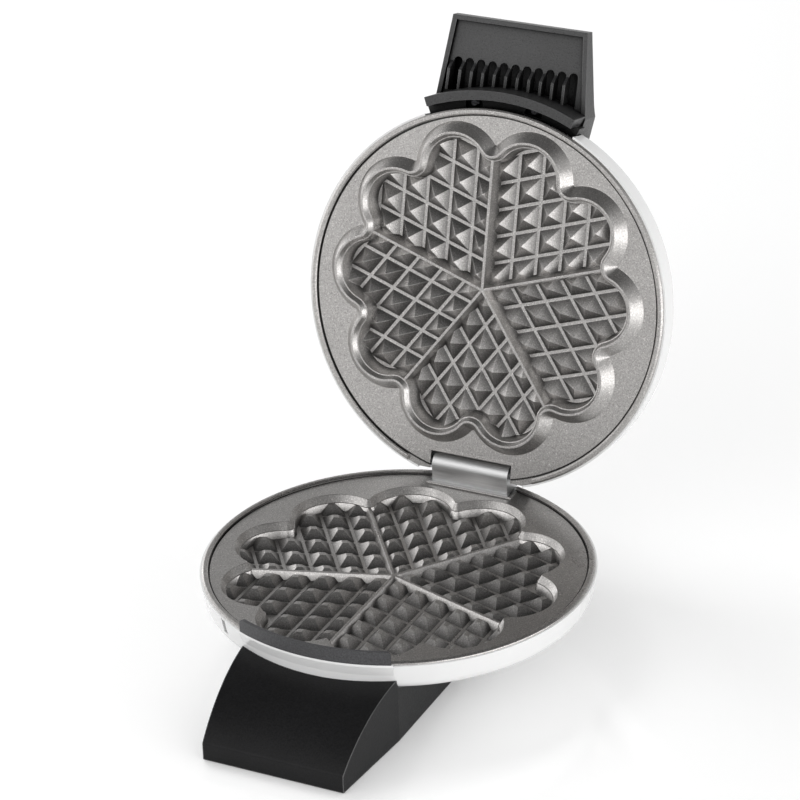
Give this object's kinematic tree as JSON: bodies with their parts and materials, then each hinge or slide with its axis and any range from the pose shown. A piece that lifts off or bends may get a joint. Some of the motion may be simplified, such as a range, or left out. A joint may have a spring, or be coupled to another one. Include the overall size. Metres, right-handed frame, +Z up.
{
  "type": "heart waffle maker",
  "caption": "Round countertop waffle maker with a hinged lid, heart-shaped moulds in both plates, a flat front handle and a sloping front foot.",
  "frame": {"origin": "on the table, under the middle of the open appliance's outer box", "axes": "+X along the hinge to the right, -Y to the front foot and the handle's side, +Z up"},
  "size_m": [0.1864, 0.2874, 0.2583],
  "materials": {
    "white_gloss": "glossy white",
    "plate_coating": "warm grey speckled non-stick coating on cast metal",
    "heater_steel": "dull dark heater tube",
    "aluminium_sheet": "bright sheet",
    "zinc_steel": "zinc plated",
    "black_steel": "black zinc",
    "fuse_body": "pale ceramic glaze",
    "terminal_plastic": "natural nylon",
    "black_rubber": "matte",
    "grey_rubber": "matte",
    "black_plastic": "fine matte black",
    "grey_band": "matte dark grey",
    "satin_metal": "satin grey",
    "red_lens": "tinted lens",
    "green_lens": "tinted lens",
    "lamp_glass": "clear bulb"
  },
  "bodies": {
    "base": {"lower_shell": "white_gloss", "lower_plate": "plate_coating", "lower_heater": "heater_steel", "lower_reflector": "aluminium_sheet", "lower_plate_screws": "zinc_steel", "terminal_block": "terminal_plastic", "thermal_fuse": "fuse_body", "fuse_clip": "aluminium_sheet", "cable_grommet": "black_rubber", "front_foot": "black_plastic", "foot_screws": "zinc_steel", "front_pads": "grey_rubber", "rear_pads": "grey_rubber", "front_apron": "grey_band", "hinge_cover": "satin_metal", "hinge_bracket": "zinc_steel", "hinge_bracket_screws": "zinc_steel", "hinge_pin": "zinc_steel", "pin_clips": "zinc_steel"},
    "lid": {"upper_shell": "white_gloss", "upper_plate": "plate_coating", "upper_heater": "heater_steel", "upper_reflector": "aluminium_sheet", "upper_plate_screws": "zinc_steel", "lid_hinge_bracket": "zinc_steel", "lid_hinge_screws": "zinc_steel", "handle_top": "black_plastic", "handle_underside": "black_plastic", "handle_screws": "black_steel", "panel_screws": "black_steel", "thermostat": "fuse_body", "power_lens": "red_lens", "ready_lens": "green_lens", "indicator_lamps": "lamp_glass"},
    "dial": {"browning_dial": "black_plastic", "dial_spindle": "zinc_steel"}
  },
  "joints": [
    {"name": "lid_hinge", "type": "hinge", "parent": "base", "child": "lid", "pos_m": [0, 0.07287, 0.0494], "axis": [1, 0, 0], "range_deg": [0, 103.3]},
    {"name": "dial_turn", "type": "hinge", "parent": "lid", "child": "dial", "pos_m": [0, 0.13511, 0.1917], "axis": [0, 0.9985, 0.0541], "range_deg": [0, 240]}
  ]
}
